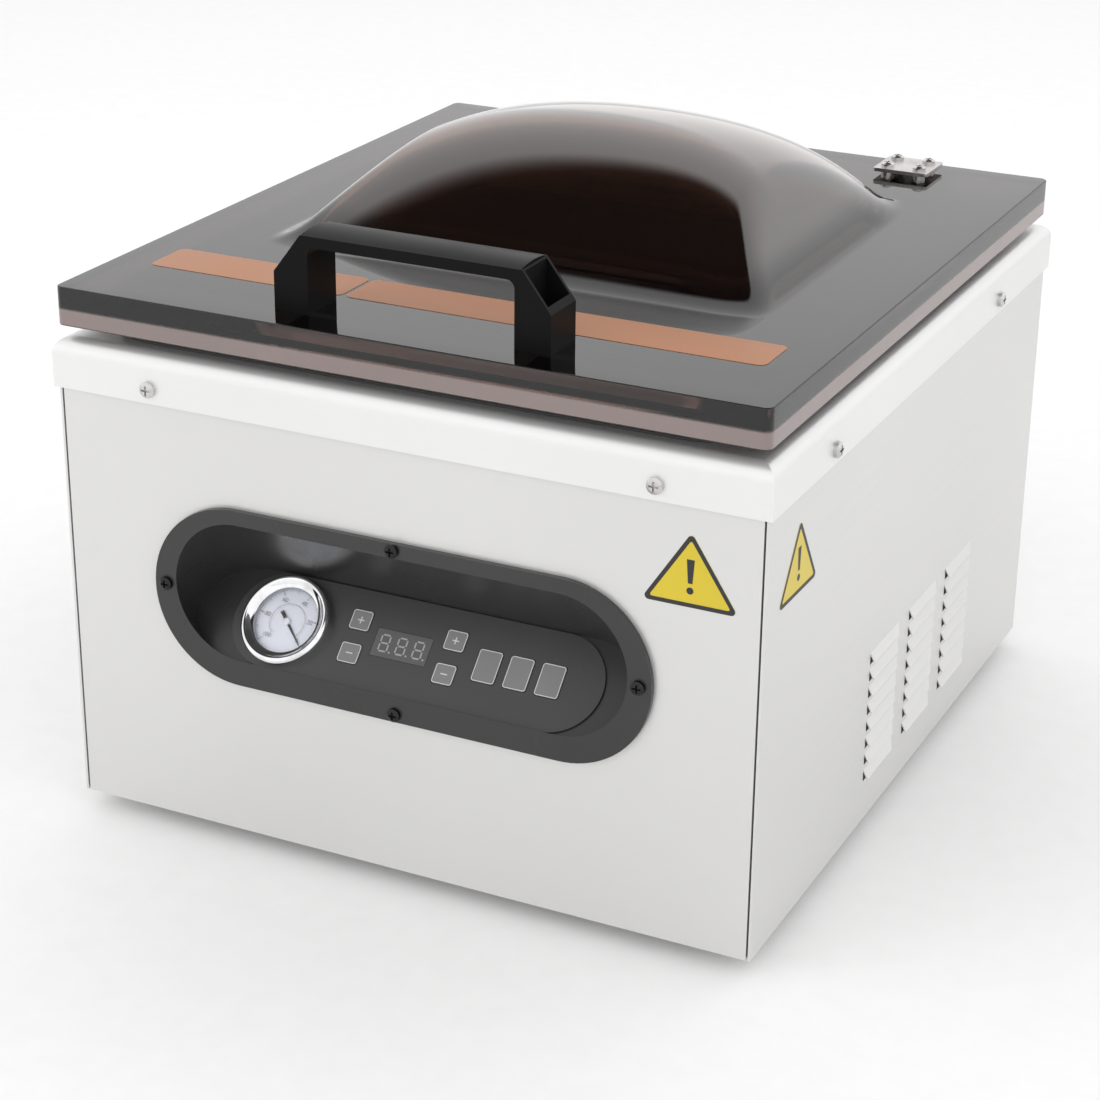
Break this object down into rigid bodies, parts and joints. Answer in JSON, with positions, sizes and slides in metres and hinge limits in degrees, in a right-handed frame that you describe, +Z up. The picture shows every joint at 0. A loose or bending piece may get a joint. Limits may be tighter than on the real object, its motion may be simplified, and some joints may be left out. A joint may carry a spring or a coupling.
{
  "type": "vacuum chamber sealer",
  "caption": "Steel countertop vacuum chamber sealer with a hinged smoked acrylic domed lid, bridge handle, sloping control pocket, vacuum gauge and louvred sides.",
  "frame": {"origin": "on the table, under the middle of the cabinet, in the plane of the rubber feet", "axes": "+X to the right seen from the front, the front faces -Y, +Z up"},
  "size_m": [0.3796, 0.4235, 0.3377],
  "materials": {
    "stainless": "fine satin stainless sheet",
    "bright_steel": "bright plated steel",
    "black_screw": "black oxide",
    "rubber": "matt moulded rubber",
    "gasket_rubber": "smooth silicone rubber",
    "bezel_plastic": "satin black moulding",
    "membrane": "satin membrane film",
    "display": "dark display film",
    "display_figure": "unlit grey segments",
    "key": "embossed film keys with a pale border",
    "black_plastic": "moulded black plastic",
    "chrome": "polished chrome",
    "dial": "white printed dial",
    "needle": "black paint",
    "clear": "clear lens",
    "circuit": "green circuit board",
    "aluminium": "satin extrusion",
    "element": "flat heating band",
    "ptfe": "brown PTFE coated glass cloth",
    "pump_metal": "grey painted casting",
    "transformer_iron": "varnished laminations",
    "valve": "moulded coil body",
    "hose": "red silicone hose",
    "sticker": "yellow printed film",
    "smoked_acrylic": "polished smoked acrylic",
    "handle_plastic": "satin black moulding",
    "label": "orange printed film",
    "silicone": "red silicone rubber"
  },
  "bodies": {
    "cabinet": {"base_pan": "stainless", "corner_posts": "stainless", "front_panel": "stainless", "side_panel_right": "stainless", "side_panel_left": "stainless", "rear_panel": "stainless", "chamber_deck": "stainless", "deck_screws": "bright_steel", "rubber_feet": "rubber", "foot_screws": "bright_steel", "chamber_tub": "stainless", "chamber_gasket": "gasket_rubber", "control_bezel": "bezel_plastic", "bezel_screws": "black_screw", "membrane_panel": "membrane", "display_window": "display", "display_digits": "display_figure", "gauge_case": "black_plastic", "gauge_ring": "chrome", "gauge_dial": "dial", "gauge_lens": "clear", "control_board": "circuit", "lift_cylinders": "black_plastic", "vacuum_pump": "pump_metal", "pump_motor": "pump_metal", "pump_mounts": "rubber", "fan_frame": "black_plastic", "transformer": "transformer_iron", "solenoid_valves": "valve", "vacuum_hoses": "hose", "mains_inlet": "black_plastic", "inlet_pins": "bright_steel", "safety_stickers": "sticker", "hinge_brackets": "bright_steel", "hinge_pins": "bright_steel", "bracket_screws": "bright_steel"},
    "lid_assembly": {"lid": "smoked_acrylic", "lid_handle": "handle_plastic", "handle_screws": "bright_steel", "lid_labels": "label", "hinge_plates": "bright_steel", "hinge_spacers": "bright_steel", "hinge_screws": "bright_steel", "hinge_leaves": "bright_steel", "counter_bar_holder": "aluminium", "counter_bar": "silicone"},
    "seal_bar_assembly": {"seal_bar": "aluminium", "heating_element": "element", "ptfe_cover": "ptfe", "seal_bar_rods": "bright_steel"},
    "key_vac_plus_cap": {"key_vac_plus": "key"},
    "key_vac_minus_cap": {"key_vac_minus": "key"},
    "key_seal_plus_cap": {"key_seal_plus": "key"},
    "key_seal_minus_cap": {"key_seal_minus": "key"},
    "key_start_cap": {"key_start": "key"},
    "key_seal_cap": {"key_seal": "key"},
    "key_power_cap": {"key_power": "key"},
    "pointer": {"gauge_needle": "needle"},
    "fan": {"fan_rotor": "black_plastic"}
  },
  "joints": [
    {"name": "lid_hinge", "type": "hinge", "parent": "cabinet", "child": "lid_assembly", "pos_m": [0, 0.2085, 0.2606], "axis": [-1, 0, 0], "range_deg": [0, 65]},
    {"name": "seal_bar_lift", "type": "slide", "parent": "cabinet", "child": "seal_bar_assembly", "axis": [0, 0, 1], "range_m": [0, 0.009]},
    {"name": "gauge_pointer", "type": "hinge", "parent": "cabinet", "child": "pointer", "pos_m": [-0.07, -0.1892, 0.1222], "axis": [0, -0.7071, 0.7071], "range_deg": [0, 270], "stiffness_Nm_per_rad": 0.00002, "springref_deg": -34.38},
    {"name": "fan_spin", "type": "hinge", "parent": "cabinet", "child": "fan", "pos_m": [-0.095, 0.192, 0.095], "axis": [0, 1, 0], "continuous": true},
    {"name": "key_vac_plus_press", "type": "slide", "parent": "cabinet", "child": "key_vac_plus_cap", "axis": [0, 0.7071, -0.7071], "range_m": [0, 0.0005], "stiffness_N_per_m": 300, "springref_m": -0.001},
    {"name": "key_vac_minus_press", "type": "slide", "parent": "cabinet", "child": "key_vac_minus_cap", "axis": [0, 0.7071, -0.7071], "range_m": [0, 0.0005], "stiffness_N_per_m": 300, "springref_m": -0.001},
    {"name": "key_seal_plus_press", "type": "slide", "parent": "cabinet", "child": "key_seal_plus_cap", "axis": [0, 0.7071, -0.7071], "range_m": [0, 0.0005], "stiffness_N_per_m": 300, "springref_m": -0.001},
    {"name": "key_seal_minus_press", "type": "slide", "parent": "cabinet", "child": "key_seal_minus_cap", "axis": [0, 0.7071, -0.7071], "range_m": [0, 0.0005], "stiffness_N_per_m": 300, "springref_m": -0.001},
    {"name": "key_start_press", "type": "slide", "parent": "cabinet", "child": "key_start_cap", "axis": [0, 0.7071, -0.7071], "range_m": [0, 0.0005], "stiffness_N_per_m": 300, "springref_m": -0.001},
    {"name": "key_seal_press", "type": "slide", "parent": "cabinet", "child": "key_seal_cap", "axis": [0, 0.7071, -0.7071], "range_m": [0, 0.0005], "stiffness_N_per_m": 300, "springref_m": -0.001},
    {"name": "key_power_press", "type": "slide", "parent": "cabinet", "child": "key_power_cap", "axis": [0, 0.7071, -0.7071], "range_m": [0, 0.0005], "stiffness_N_per_m": 300, "springref_m": -0.001}
  ]
}
